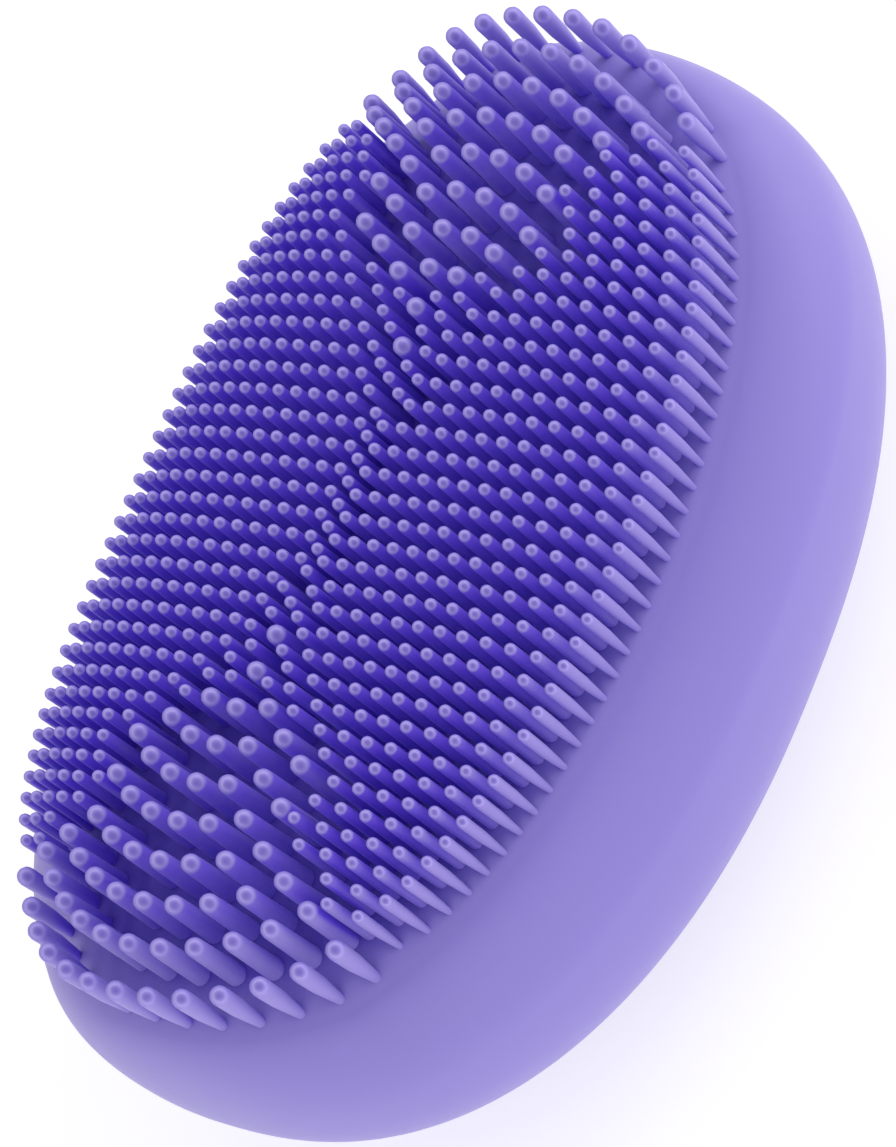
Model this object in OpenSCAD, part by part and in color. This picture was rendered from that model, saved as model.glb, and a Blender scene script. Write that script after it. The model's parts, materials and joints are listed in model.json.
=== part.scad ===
// Palm-size facial cleansing brush. A bristled silicone sleeve wraps a sealed two-shell
// housing that holds a motor with an eccentric weight, a rechargeable cell and a control
// board. The back has a cover plate with a push button, a light ring and a flat rest spot,
// and one end has a socket for a charging needle.
// Frame: origin at the centre of the flat rest spot on the back, +Z towards the bristle
// tips, X across the width, Y along the length, charging socket at +Y.

/* [Body] */
// Length of the body
body_l = 84; // [82:0.5:88]
// Width of the body
body_w = 61.3; // [60:0.1:64]
// Height of the widest section above the back
mid_z = 16; // [15.5:0.1:17]
// Rise of the front dome that the sleeve's inside and the housing follow
dome_h = 7.5; // [7:0.1:7.8]
// Squareness of the plan outline, where 2 is an ellipse
plan_n = 2.3; // [2.2:0.05:2.6]
// Squareness of the turn from the side to the back
back_n = 2.4; // [2.3:0.05:2.6]
// Flat part of the back, as a share of the plan
flat_r = 0.3; // [0.28:0.01:0.34]

/* [Sleeve] */
// Thickness of the silicone sleeve
skin_t = 1.8; // [1.6:0.1:1.9]
// Opening of the sleeve on the back, as a share of the plan
lip_r = 0.76; // [0.74:0.01:0.78]
// Width of the bristle field at the tips
field_w = 47.6; // [46:0.1:48]
// Length of the bristle field at the tips
field_l = 78; // [77:0.1:79]
// Height of the tips above the widest section, at the centre
tip_h = 12.7; // [12.4:0.1:13.6]
// Fall of the tips from the centre to the rim of the field
tip_drop = 3.3; // [2.6:0.1:3.4]
// Rise of the tips towards both ends of the field
end_rise = 4.4; // [3.6:0.1:5]
// Length of the bristles
bristle_l = 5.4; // [4.9:0.1:5.5]

/* [Housing] */
// Wall thickness of both housing shells
wall_t = 1.8; // [1.6:0.1:2]
// Distance of the housing screws from the centre, across
screw_x = 14; // [13:0.5:14.5]
// Distance of the housing screws from the centre, along
screw_y = 22; // [21:0.5:22.5]

/* [Power button] */
// Place of the button along the back
button_y = 14; // [13.5:0.1:14.5]
// Radius of the button's face
button_r = 5.9; // [5.5:0.1:5.95]
// Travel of the button
button_travel = 0.5; // [0.3:0.05:0.5]

/* [Motor] */
// Radius of the motor can
motor_r = 5.5; // [5:0.1:5.6]
// Length of the motor can
motor_l = 18; // [16:0.5:18]
// Radius of the motor shaft
shaft_r = 0.75; // [0.6:0.05:0.8]
// Outer radius of the eccentric weight
weight_r = 5; // [4:0.1:5]
// Length of the eccentric weight
weight_l = 6; // [4:0.5:6]

/* [Cell and board] */
// Width of the cell
cell_w = 20; // [18:0.5:20]
// Length of the cell
cell_l = 23.5; // [20:0.5:23.5]
// Thickness of the cell
cell_t = 7; // [6:0.1:7]
// Thickness of the circuit board
board_t = 1.2; // [0.8:0.1:1.3]

/* [Charging socket] */
// Radius of the socket's bore
socket_r = 1.3; // [1.2:0.05:1.35]
// Height of the socket's axis
socket_z = 11; // [10.9:0.05:11.1]

/* [Hidden] */
$fn = 48;

// Clearances: between fitted shells, between stacked flat parts, round a running shaft
shell_gap = 0.1;
stack_gap = 0.05;
run_gap = 0.03;

// Depths of the nested skins below the outer surface
housing_d = skin_t + shell_gap;
inner_d = housing_d + wall_t;
sleeve_seg = 72;
housing_seg = 48;

// Shape of the bristle tips: how late they fall towards the rim, and where their rise levels out
tip_n = 3.8;
rise_y = 43;
rise_w = 14;

// Gasket groove in the rear housing's rim
groove_t = 0.7;
groove_side = 0.25;

// Button stack, as heights above the back
recess_z = 0.7;
recess_r = 9;
button_z = 0.35;
flange_r = 6.8;
pocket_r = 7.2;
pocket_z = 3.4;
seal_t = 0.28;
seal_z = pocket_z - 0.02;
flange_z = [1.95, seal_z - seal_t - stack_gap - button_travel];
stem_r = 2;
stem_z = 5;
ring_r = [6.05, 7.6, 9.3];
ring_z = [recess_z, 1.3, 1.85];
leg_x = 8.3;
leg_r = 0.8;
leg_z = 6;

// Board and the parts on it
board_z = 7;
board_top = board_z + board_t;
board_y = [3, 30];
switch_w = 6;
switch_z = 5.6;
well_z = board_z - 0.2;
plunger_r = 1.5;

// Screws: housing, then board and clamp
head_h = 1.3;
screw_r = 1;
small_r = 0.8;
small_head_h = 1;
seat_z = 6;
board_holes = [[-7.5, 6], [7.5, 6], [-6.5, 27.5], [6.5, 27.5]];
clamp_x = 9.4;
clamp_y = -10;

// Motor axis and stations along it
motor_z = 11.6;
motor_y0 = -19;
motor_y1 = motor_y0 + motor_l;
cap_l = 2.5;
can_t = 0.5;
boot_r = motor_r + 0.7;
clamp_r = boot_r + 0.9;
weight_y = motor_y0 - 3 - weight_l;

// Cell and its foam
cell_y = 3.9;
cell_z = 9.9;
foam_t = 0.85;

// Charging socket, stations along its axis
barrel_r = 2.5;
barrel_y = [31, 39.8];
block_y = [28, 33.6];
collar_y = 34.8;
port_r = 2.7;

// Places of the pegs that hold the cover
peg_r = 1.2;
peg_sites = [[-9, -18], [9, -18], [-12.5, 14], [12.5, 14]];
peg_z = 3.4;

wire_r = 0.4;
wire_bend = 1;

// ---- Shape of the body ----

function spow(v, e) = sign(v) * pow(abs(v), e);

// One point of an oval with half sizes a and b
function oval(t, a, b) = [a * spow(cos(t), 2 / plan_n), b * spow(sin(t), 2 / plan_n)];

function oval_points(a, b, seg) = [for (i = [0:seg - 1]) oval(360 * i / seg, a, b)];

// Relative radius of a plan point: 0 at the centre, 1 on the oval with half sizes a and b
function reach(x, y, a, b) =
    pow(pow(abs(x) / a, plan_n) + pow(abs(y) / b, plan_n), 1 / plan_n);

// Height of the skin that lies d below the outer surface, at relative radius r
function z_front(r, d) = mid_z + (dome_h - d) * sqrt(max(0, 1 - r * r));
function z_back(r, d) = mid_z - (mid_z - d)
    * pow(max(0, 1 - pow(max(0, r - flat_r) / (1 - flat_r), back_n)), 1 / back_n);

// Level ring of that skin
function ring(r, z, d, seg) =
    [for (p = oval_points(r * (body_w / 2 - d), r * (body_l / 2 - d), seg)) [p[0], p[1], z]];

// Relative radius at step a of a sweep, 0 on the rim and 90 at the flat or the crown
function back_r(a) = flat_r + (1 - flat_r) * pow(max(0, cos(a)), 2 / back_n);
// Sweep angle at which the back reaches relative radius r
function back_angle(r) = acos(pow((r - flat_r) / (1 - flat_r), back_n / 2));

// Rings from relative radius r0 on the back up to the rim, k steps
function back_rings(r0, d, k, seg) =
    [for (i = [0:k]) let (r = back_r(back_angle(r0) * (1 - i / k))) ring(r, z_back(r, d), d, seg)];
// Rings from just above the rim to near the crown, k steps
function front_rings(d, k, seg) =
    [for (i = [1:k]) let (r = cos(i * 84 / k)) ring(r, z_front(r, d), d, seg)];

// Half width of the bristle field at y, held at rise_w near the ends
function field_half(y) =
    max(rise_w, field_w / 2 * pow(max(0, 1 - pow(abs(y) * 2 / field_l, plan_n)), 1 / plan_n));
// Height of the bristle tips over a plan point: a saddle that rises towards both ends
function z_tips(x, y) = let (r = reach(x, y, field_w / 2, field_l / 2),
        u = min(1, abs(x) / field_half(y)),
        share = (1 - cos(180 * min(1, abs(y) / rise_y))) / 2)
    mid_z + tip_h - tip_drop * pow(r, tip_n) + end_rise * share * (1 - u * u / 2);

// Rings of the front skin from the rim in to the edge of the bristle field
function shoulder_rings(k, seg) = [for (i = [1:k]) [for (j = [0:seg - 1])
    let (t = 360 * j / seg, sweep = 68 + 20 * abs(sin(t)), a = sweep * i / k,
        share = (1 - cos(a)) / (1 - cos(sweep)),
        rim = oval(t, body_w / 2, body_l / 2), edge = oval(t, field_w / 2, field_l / 2),
        rise = z_tips(edge[0], edge[1]) - bristle_l - mid_z)
    [rim[0] + share * (edge[0] - rim[0]), rim[1] + share * (edge[1] - rim[1]),
        mid_z + rise * sin(a) / sin(sweep)]]];
// Rings over the bristle tips
function tip_rings(k, seg) = [for (i = [0:k]) let (s = 1 - 0.92 * i / k)
    [for (p = oval_points(s * field_w / 2, s * field_l / 2, seg)) [p[0], p[1], z_tips(p[0], p[1])]]];

// Triangles between two rings of points, and a flat cap on one ring
function strip(r0, r1, seg, up) = [for (i = [0:seg - 1]) let (j = (i + 1) % seg)
    each up ? [[r0 + i, r1 + i, r1 + j], [r0 + i, r1 + j, r0 + j]]
            : [[r0 + i, r1 + j, r1 + i], [r0 + i, r0 + j, r1 + j]]];
function cap(r0, seg, up) = up ? [for (i = [seg - 1:-1:0]) r0 + i] : [for (i = [0:seg - 1]) r0 + i];
function strips(r0, count, seg, up) =
    [for (k = [0:count - 2]) each strip(r0 + k * seg, r0 + (k + 1) * seg, seg, up)];

// Solid through a stack of rings, lowest first
module ring_solid(rings) {
    seg = len(rings[0]);
    polyhedron(points = [for (r = rings) each r], convexity = 4, faces = concat(
        [cap(0, seg, false)],
        strips(0, len(rings), seg, true),
        [cap((len(rings) - 1) * seg, seg, true)]));
}

// Cup-shaped shell: both ring lists start at the open rim and end at the closed end
module ring_shell(outer, inner, up) {
    seg = len(outer[0]);
    base = len(outer) * seg;
    polyhedron(points = [for (r = concat(outer, inner)) each r], convexity = 6, faces = concat(
        strips(0, len(outer), seg, up),
        [cap(base - seg, seg, up)],
        strips(base, len(inner), seg, !up),
        [cap(base + (len(inner) - 1) * seg, seg, !up)],
        strip(0, base, seg, !up)));
}

// Solid half of the body behind the widest section, carried straight on to height top
module back_solid(d, top) {
    rings = back_rings(flat_r, d, 8, housing_seg);
    ring_solid(top > mid_z ? concat(rings, [ring(1, top, d, housing_seg)]) : rings);
}

// Solid half of the body in front of the widest section, carried straight on down to bottom
module front_solid(d, bottom) {
    ring_solid(concat([ring(1, bottom, d, housing_seg)],
        bottom < mid_z ? [ring(1, mid_z, d, housing_seg)] : [], front_rings(d, 6, housing_seg)));
}

// ---- Small building blocks ----

// Upright cylinder from z0 to z1
module post(x, y, r, z0, z1) {
    translate([x, y, z0]) cylinder(r = r, h = z1 - z0);
}

// Cylinder along Y from y0 to y1
module rod(z, r, y0, y1) {
    translate([0, y0, z]) rotate([-90, 0, 0]) cylinder(r = r, h = y1 - y0);
}

// Box given by its two corners
module block(low, high) {
    translate(low) cube(high - low);
}

// Rectangle with round corners
module rounded_rect(w, l, r) {
    square([w - 2 * r, l], center = true);
    square([w, l - 2 * r], center = true);
    for (x = [-1, 1], y = [-1, 1]) translate([x * (w / 2 - r), y * (l / 2 - r)]) circle(r);
}

// Screw whose head rests on a seat at height z, with a cross recess in the head
module screw(x, y, z, r, length, head, up) {
    translate([x, y, z]) rotate([up ? 180 : 0, 0, 0]) difference() {
        union() {
            cylinder(r = r, h = length);
            translate([0, 0, -head]) cylinder(r = r * 1.85, h = head);
        }
        for (a = [0, 90]) rotate([0, 0, a]) translate([0, 0, -head])
            cube([r * 2.2, r * 0.45, head], center = true);
    }
}

// Quarter bend of a wire in the YZ plane, from angle a to a + 90
module bend(y, z, a) {
    translate([0, y, z]) rotate([90, 0, 90]) rotate([0, 0, a]) rotate_extrude(angle = 90)
        translate([wire_bend, 0]) circle(wire_r, $fn = 24);
}

// Wire that hangs from height z1 at y, turns and lies along Y on the board as far as y1
module lead(y, z1, y1) {
    z0 = board_top + wire_r + stack_gap;
    post(0, y, wire_r, z0 + wire_bend, z1);
    bend(y + wire_bend, z0 + wire_bend, 180);
    rod(z0, wire_r, y + wire_bend, y1);
}

// ---- Outer parts ----

module bristle_sleeve() {
    color([0.59, 0.54, 0.86]) difference() {
        ring_shell(
            concat(back_rings(lip_r, 0, 8, sleeve_seg), shoulder_rings(6, sleeve_seg),
                tip_rings(8, sleeve_seg)),
            concat(back_rings(lip_r + 0.04, skin_t, 6, sleeve_seg), front_rings(skin_t, 6, sleeve_seg)),
            true);
        rod(socket_z, port_r, barrel_y[1] - 3, body_l);
    }
}

module rear_cover() {
    cover_k = 5;
    rim_r = lip_r - 0.01;
    color([0.52, 0.46, 0.8]) {
        difference() {
            ring_shell([for (i = [0:cover_k]) let (r = rim_r - (rim_r - flat_r) * i / cover_k)
                    ring(r, z_back(r, 0), 0, sleeve_seg)],
                [for (i = [0:cover_k]) let (r = rim_r + 0.035 - (rim_r + 0.035 - flat_r) * i / cover_k)
                    ring(r, z_back(r, skin_t), skin_t, sleeve_seg)], false);
            post(0, button_y, recess_r, -1, recess_z);
            post(0, button_y, ring_r[1] + stack_gap, -1, mid_z);
            post(0, button_y, ring_r[2] + shell_gap, ring_z[1] - stack_gap, mid_z);
        }
        for (p = peg_sites) post(p[0], p[1], peg_r, 1.5, peg_z);
    }
}

module front_housing() {
    rib_t = 1.2;
    color([0.9, 0.9, 0.92]) translate([0, 0, stack_gap]) difference() {
        front_solid(housing_d, mid_z);
        difference() {
            front_solid(inner_d, mid_z - 1);
            for (x = [-1, 1], y = [-1, 1]) post(x * screw_x, y * screw_y, 2.6, mid_z - 2, mid_z + dome_h);
            for (y = [10, 21]) block([-8, y, cell_z + cell_t + foam_t + 2 * stack_gap],
                [8, y + rib_t, mid_z + dome_h]);
        }
        for (x = [-1, 1], y = [-1, 1])
            post(x * screw_x, y * screw_y, screw_r + run_gap, mid_z - 2, mid_z + 2.7);
    }
}

// Bosses, ribs and posts that stand inside the rear housing
module rear_bosses() {
    top = mid_z - stack_gap;
    for (x = [-1, 1], y = [-1, 1]) post(x * screw_x, y * screw_y, 3.4, 0, top);
    post(0, button_y, 9.6, 0, 4.9);
    for (p = board_holes) post(p[0], p[1], 1.9, 0, board_z - stack_gap);
    for (x = [-1, 1]) post(x * clamp_x, clamp_y, 2.2, 0, motor_z - stack_gap);
    for (y = [-13, -8.5]) difference() {
        block([-9, y, 0], [9, y + 1.5, motor_z - stack_gap]);
        rod(motor_z, boot_r + stack_gap, y - 1, y + 3);
    }
    rod(socket_z, 4, collar_y, body_l / 2);
}

// Holes and pockets of the rear housing
module rear_cuts() {
    for (x = [-1, 1], y = [-1, 1]) {
        post(x * screw_x, y * screw_y, screw_r * 1.85 + 0.25, -1, seat_z);
        post(x * screw_x, y * screw_y, screw_r + 0.15, seat_z - 1, mid_z + 1);
    }
    for (p = board_holes) post(p[0], p[1], small_r + run_gap, board_z - 2.1, board_z + 1);
    for (x = [-1, 1]) {
        post(x * clamp_x, clamp_y, small_r + run_gap, motor_z - 5, motor_z + 1);
        post(x * leg_x, button_y, leg_r + shell_gap, -1, leg_z);
    }
    for (p = peg_sites) post(p[0], p[1], peg_r + stack_gap, 0, peg_z + shell_gap);
    post(0, button_y, pocket_r, -1, pocket_z);
    post(0, button_y, stem_r + stack_gap, 0, leg_z);
    rod(socket_z, barrel_r + stack_gap, collar_y - 1, body_l / 2 + 1);
    rod(socket_z, 3.4, collar_y - 1, collar_y + 1.5);
}

// Flat oval band between two depths below the body's outline
module rim_band(d0, d1, z0, z1) {
    translate([0, 0, z0]) linear_extrude(z1 - z0) difference() {
        polygon(oval_points(body_w / 2 - d0, body_l / 2 - d0, sleeve_seg));
        polygon(oval_points(body_w / 2 - d1, body_l / 2 - d1, sleeve_seg));
    }
}

module rear_housing() {
    color([0.9, 0.9, 0.92]) difference() {
        back_solid(housing_d, mid_z);
        difference() {
            back_solid(inner_d, mid_z + 1);
            rear_bosses();
        }
        rear_cuts();
        rim_band(housing_d + groove_side, inner_d - groove_side, mid_z - groove_t, mid_z + 1);
    }
}

module housing_gasket() {
    side = groove_side + shell_gap;
    color([0.15, 0.15, 0.17]) rim_band(housing_d + side, inner_d - side,
        mid_z - groove_t + stack_gap, mid_z - 0.02);
}

module housing_screws() {
    color([0.75, 0.76, 0.78]) for (x = [-1, 1], y = [-1, 1])
        screw(x * screw_x, y * screw_y, seat_z - 0.02, screw_r, 12.3, head_h, false);
}

// ---- Button and light ----

module power_button() {
    color([0.66, 0.62, 0.9]) {
        post(0, button_y, button_r, button_z, flange_z[0] + 0.01);
        post(0, button_y, flange_r, flange_z[0], flange_z[1]);
        post(0, button_y, stem_r, flange_z[1] - 0.01, stem_z);
    }
}

module button_seal() {
    color([0.35, 0.35, 0.38]) difference() {
        post(0, button_y, pocket_r - shell_gap, seal_z - seal_t, seal_z);
        post(0, button_y, stem_r + 0.2, 0, stem_z);
    }
}

module light_ring() {
    color([0.95, 0.95, 1, 0.6]) {
        difference() {
            union() {
                post(0, button_y, ring_r[1], ring_z[0], ring_z[2]);
                post(0, button_y, ring_r[2], ring_z[1], ring_z[2]);
            }
            post(0, button_y, ring_r[0], 0, leg_z);
        }
        for (x = [-1, 1]) post(x * leg_x, button_y, leg_r, ring_z[2] - 0.1, leg_z);
    }
}

// ---- Board ----

module circuit_board() {
    half = 10;
    neck = 8;
    color([0.05, 0.35, 0.2]) difference() {
        translate([0, 0, board_z]) linear_extrude(board_t) polygon([
            [-half, board_y[0]], [half, board_y[0]], [half, board_y[1] - 3],
            [neck, board_y[1]], [-neck, board_y[1]], [-half, board_y[1] - 3]]);
        for (p = board_holes) post(p[0], p[1], small_r + stack_gap, 0, mid_z);
    }
}

module switch_body() {
    top = board_z - stack_gap;
    color([0.12, 0.12, 0.13]) difference() {
        block([-switch_w / 2, button_y - switch_w / 2, switch_z],
            [switch_w / 2, button_y + switch_w / 2, top]);
        post(0, button_y, plunger_r + shell_gap, 0, well_z);
    }
}

module switch_plunger() {
    color([0.85, 0.82, 0.75]) post(0, button_y, plunger_r, stem_z + stack_gap,
        well_z - button_travel - shell_gap);
}

module status_leds() {
    color([1, 0.95, 0.7]) for (x = [-1, 1])
        translate([x * leg_x, button_y, board_z - stack_gap - 0.4]) cube([1.6, 1.6, 0.8], center = true);
}

// Chip with its centre at x, y and its size, standing on the board
module chip(x, y, size) {
    translate([x - size[0] / 2, y - size[1] / 2, board_top + stack_gap]) cube(size);
}

module control_chips() {
    color([0.1, 0.1, 0.11]) {
        chip(0, 19, [4, 4, 0.9]);
        chip(-6, 12, [2.9, 1.6, 1.1]);
        chip(6, 12, [2.9, 1.6, 1.1]);
        for (i = [0:3]) chip(-4.5 + 3 * i, 24.5, [1.6, 0.8, 0.8]);
    }
}

module board_screws() {
    color([0.75, 0.76, 0.78]) for (p = board_holes)
        screw(p[0], p[1], board_top + 0.02, small_r, 3.1, small_head_h, true);
}

// ---- Cell ----

module battery_cell() {
    corner = 1.6;
    color([0.62, 0.66, 0.72]) translate([0, cell_y + cell_l, cell_z + cell_t / 2])
        rotate([90, 0, 0]) linear_extrude(cell_l) rounded_rect(cell_w, cell_t, corner);
}

module battery_foam() {
    inset = 2;
    color([0.2, 0.2, 0.22]) block(
        [inset - cell_w / 2, cell_y + inset, cell_z + cell_t + stack_gap],
        [cell_w / 2 - inset, cell_y + cell_l - inset, cell_z + cell_t + foam_t]);
}

module battery_leads() {
    z1 = 13;
    y = cell_y - 1.3;
    color([0.75, 0.1, 0.1]) for (x = [-1.5, 1.5]) translate([x, 0, 0]) {
        lead(y, z1 - wire_bend, 6);
        bend(y + wire_bend, z1 - wire_bend, 90);
        rod(z1, wire_r, y + wire_bend, cell_y - 0.02);
    }
}

// ---- Motor ----

module motor_can() {
    color([0.72, 0.73, 0.75]) difference() {
        rod(motor_z, motor_r, motor_y0, motor_y1);
        rod(motor_z, motor_r - can_t, motor_y0 + can_t * 2, motor_y1 + 1);
        rod(motor_z, 1.85, motor_y0 - 1, motor_y0 + 2);
    }
}

module motor_end_cap() {
    color([0.85, 0.85, 0.82]) difference() {
        union() {
            rod(motor_z, motor_r, motor_y1 + 0.02, motor_y1 + cap_l);
            rod(motor_z, motor_r - can_t - stack_gap, motor_y1 - 0.8, motor_y1 + 0.1);
        }
        rod(motor_z, 1.85, motor_y1 - 2, motor_y1 + 2);
        rod(motor_z, 4, motor_y1 - 2, motor_y1 + 0.5);
    }
}

module motor_bushes() {
    color([0.72, 0.55, 0.25]) for (y = [motor_y0 + 0.02, motor_y1 + 0.6]) difference() {
        rod(motor_z, 1.8, y, y + 1.3);
        rod(motor_z, shaft_r + run_gap, y - 1, y + 3);
    }
}

module motor_magnets() {
    outer = motor_r - can_t - 0.03;
    color([0.25, 0.25, 0.27]) translate([0, motor_y0 + 3, motor_z]) rotate([-90, 0, 0])
        for (a = [0, 180]) rotate([0, 0, a - 60]) rotate_extrude(angle = 120)
            translate([outer - 1, 0]) square([1, 11]);
}

module motor_shaft() {
    color([0.8, 0.8, 0.82]) rod(motor_z, shaft_r, weight_y - 0.8, motor_y1 + 1.95);
}

module motor_armature() {
    slots = 3;
    r = motor_r - can_t - 1.4;
    color([0.7, 0.38, 0.15]) difference() {
        rod(motor_z, r, motor_y0 + 4, motor_y0 + 13);
        rod(motor_z, shaft_r + 0.01, motor_y0, motor_y1);
        translate([0, motor_y0 + 3, motor_z]) rotate([-90, 0, 0]) for (i = [0:slots - 1])
            rotate([0, 0, 360 * i / slots]) translate([r - 1.2, -0.4, 0]) cube([2, 0.8, 12]);
    }
}

module motor_commutator() {
    color([0.8, 0.5, 0.2]) difference() {
        rod(motor_z, 1.6, motor_y0 + 13.5, motor_y1 - 0.6);
        rod(motor_z, shaft_r + 0.01, motor_y0, motor_y1);
    }
}

module motor_brushes() {
    y = motor_y0 + 15;
    color([0.2, 0.2, 0.2]) for (s = [0, 1]) mirror([s, 0, 0])
        block([1.65, y, motor_z - 0.6], [3.2, y + 1.4, motor_z + 0.6]);
}

module motor_terminals() {
    y = motor_y1 + cap_l + 0.02;
    color([0.85, 0.7, 0.35]) for (s = [0, 1]) mirror([s, 0, 0])
        block([3.4, y, motor_z - 0.8], [4.6, y + 0.35, motor_z + 1.2]);
}

module motor_leads() {
    y = motor_y1 + cap_l + 0.4 + wire_r;
    color([0.1, 0.1, 0.12]) for (x = [-4, 4]) translate([x, 0, 0]) lead(y, motor_z, 6);
}

module eccentric_weight() {
    hub_r = 1.9;
    color([0.6, 0.6, 0.58]) difference() {
        union() {
            rod(motor_z, hub_r, weight_y, weight_y + weight_l);
            intersection() {
                rod(motor_z, weight_r, weight_y, weight_y + weight_l);
                block([-weight_r, weight_y, motor_z - weight_r], [weight_r, weight_y + weight_l, motor_z]);
            }
        }
        rod(motor_z, shaft_r + 0.01, weight_y - 1, weight_y + weight_l + 1);
    }
}

module motor_boot() {
    color([0.22, 0.22, 0.24]) difference() {
        rod(motor_z, boot_r, motor_y0 + 1.5, motor_y1 - 1.5);
        rod(motor_z, motor_r + stack_gap, motor_y0, motor_y1);
    }
}

module motor_clamp() {
    half = 3;
    ear_t = 1.2;
    color([0.85, 0.85, 0.88]) difference() {
        union() {
            intersection() {
                rod(motor_z, clamp_r, clamp_y - half, clamp_y + half);
                block([-clamp_r, clamp_y - half, motor_z], [clamp_r, clamp_y + half, motor_z + clamp_r]);
            }
            block([-clamp_x - 2.2, clamp_y - half, motor_z],
                [clamp_x + 2.2, clamp_y + half, motor_z + ear_t]);
        }
        rod(motor_z, boot_r + stack_gap, clamp_y - half - 1, clamp_y + half + 1);
        for (x = [-1, 1]) post(x * clamp_x, clamp_y, small_r + stack_gap, 0, mid_z);
    }
}

module clamp_screws() {
    color([0.75, 0.76, 0.78]) for (x = [-1, 1])
        screw(x * clamp_x, clamp_y, motor_z + 1.2 + 0.02, small_r, 5, small_head_h, true);
}

// ---- Charging socket ----

module jack_block() {
    half = 3;
    color([0.1, 0.1, 0.12]) difference() {
        block([-half, block_y[0], board_top + stack_gap], [half, block_y[1], socket_z + 2.6]);
        rod(socket_z, 2 + stack_gap, barrel_y[0] - 0.1, block_y[1] + 1);
        block([-1.3, block_y[0] + 1, socket_z - 1.6], [1.3, barrel_y[0], socket_z + 1.6]);
        block([-0.7, block_y[0] + 1, board_top - 1], [0.7, block_y[0] + 2.2, socket_z]);
    }
}

module jack_barrel() {
    color([0.8, 0.8, 0.82]) difference() {
        union() {
            rod(socket_z, 2, barrel_y[0], block_y[1] + 0.2);
            rod(socket_z, barrel_r, block_y[1] + 0.1, barrel_y[1]);
        }
        rod(socket_z, socket_r, barrel_y[0] - 1, barrel_y[1] + 1);
    }
}

module jack_contact() {
    y = block_y[0] + 1.6;
    leaf_t = 0.25;
    color([0.85, 0.7, 0.35]) {
        block([-1, y, socket_z - 1.4], [1, y + leaf_t, socket_z + 1.4]);
        block([-0.5, y, board_top + stack_gap], [0.5, y + leaf_t, socket_z - 1.3]);
    }
}

module jack_seal() {
    cord_r = 0.4;
    color([0.15, 0.15, 0.17]) translate([0, collar_y + 0.9, socket_z]) rotate([-90, 0, 0])
        rotate_extrude() translate([barrel_r + cord_r + stack_gap, 0]) circle(cord_r, $fn = 24);
}

bristle_sleeve();
rear_cover();
front_housing();
rear_housing();
housing_gasket();
housing_screws();
power_button();
button_seal();
light_ring();
circuit_board();
switch_body();
switch_plunger();
status_leds();
control_chips();
board_screws();
battery_cell();
battery_foam();
battery_leads();
motor_can();
motor_end_cap();
motor_bushes();
motor_magnets();
motor_shaft();
motor_armature();
motor_commutator();
motor_brushes();
motor_terminals();
motor_leads();
eccentric_weight();
motor_boot();
motor_clamp();
clamp_screws();
jack_block();
jack_barrel();
jack_contact();
jack_seal();
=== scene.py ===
import json
import math

import bmesh
import bpy
import numpy as np
from mathutils import Matrix, Vector


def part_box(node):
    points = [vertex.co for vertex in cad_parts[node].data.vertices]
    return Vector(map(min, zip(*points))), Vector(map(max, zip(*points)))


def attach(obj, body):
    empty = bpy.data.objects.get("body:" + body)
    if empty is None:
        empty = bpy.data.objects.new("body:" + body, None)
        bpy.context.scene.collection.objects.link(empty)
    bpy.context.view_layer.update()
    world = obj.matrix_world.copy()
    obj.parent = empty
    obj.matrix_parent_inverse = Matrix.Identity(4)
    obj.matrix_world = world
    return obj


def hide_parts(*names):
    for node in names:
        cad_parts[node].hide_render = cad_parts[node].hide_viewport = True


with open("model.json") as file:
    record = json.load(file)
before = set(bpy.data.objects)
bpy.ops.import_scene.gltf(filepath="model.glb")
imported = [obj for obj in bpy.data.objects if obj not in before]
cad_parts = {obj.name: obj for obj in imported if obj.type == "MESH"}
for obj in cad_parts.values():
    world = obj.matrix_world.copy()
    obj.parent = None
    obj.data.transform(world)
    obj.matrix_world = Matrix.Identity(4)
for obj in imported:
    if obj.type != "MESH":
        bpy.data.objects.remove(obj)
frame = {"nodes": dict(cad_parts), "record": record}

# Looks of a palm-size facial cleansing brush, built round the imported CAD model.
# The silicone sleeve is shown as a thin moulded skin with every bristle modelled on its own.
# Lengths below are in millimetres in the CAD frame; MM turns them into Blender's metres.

MM = 0.001
SHELL, BUTTON = "shell", "button"
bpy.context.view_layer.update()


def box_mm(node):
    """Lowest and highest corner of a CAD node, in millimetres."""
    low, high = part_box(node)
    return low / MM, high / MM


# ---- Sizes taken from the frame ----
SLEEVE_LOW, SLEEVE_HIGH = box_mm("bristle_sleeve")
HALF_W = (SLEEVE_HIGH.x - SLEEVE_LOW.x) / 2
HALF_L = (SLEEVE_HIGH.y - SLEEVE_LOW.y) / 2
MID_Z = box_mm("rear_housing")[1].z
BUTTON_LOW, BUTTON_HIGH = box_mm("power_button")
BUTTON_Y = (BUTTON_LOW.y + BUTTON_HIGH.y) / 2
BARREL_LOW, BARREL_HIGH = box_mm("jack_barrel")
SOCKET_Z = (BARREL_LOW.z + BARREL_HIGH.z) / 2

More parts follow.
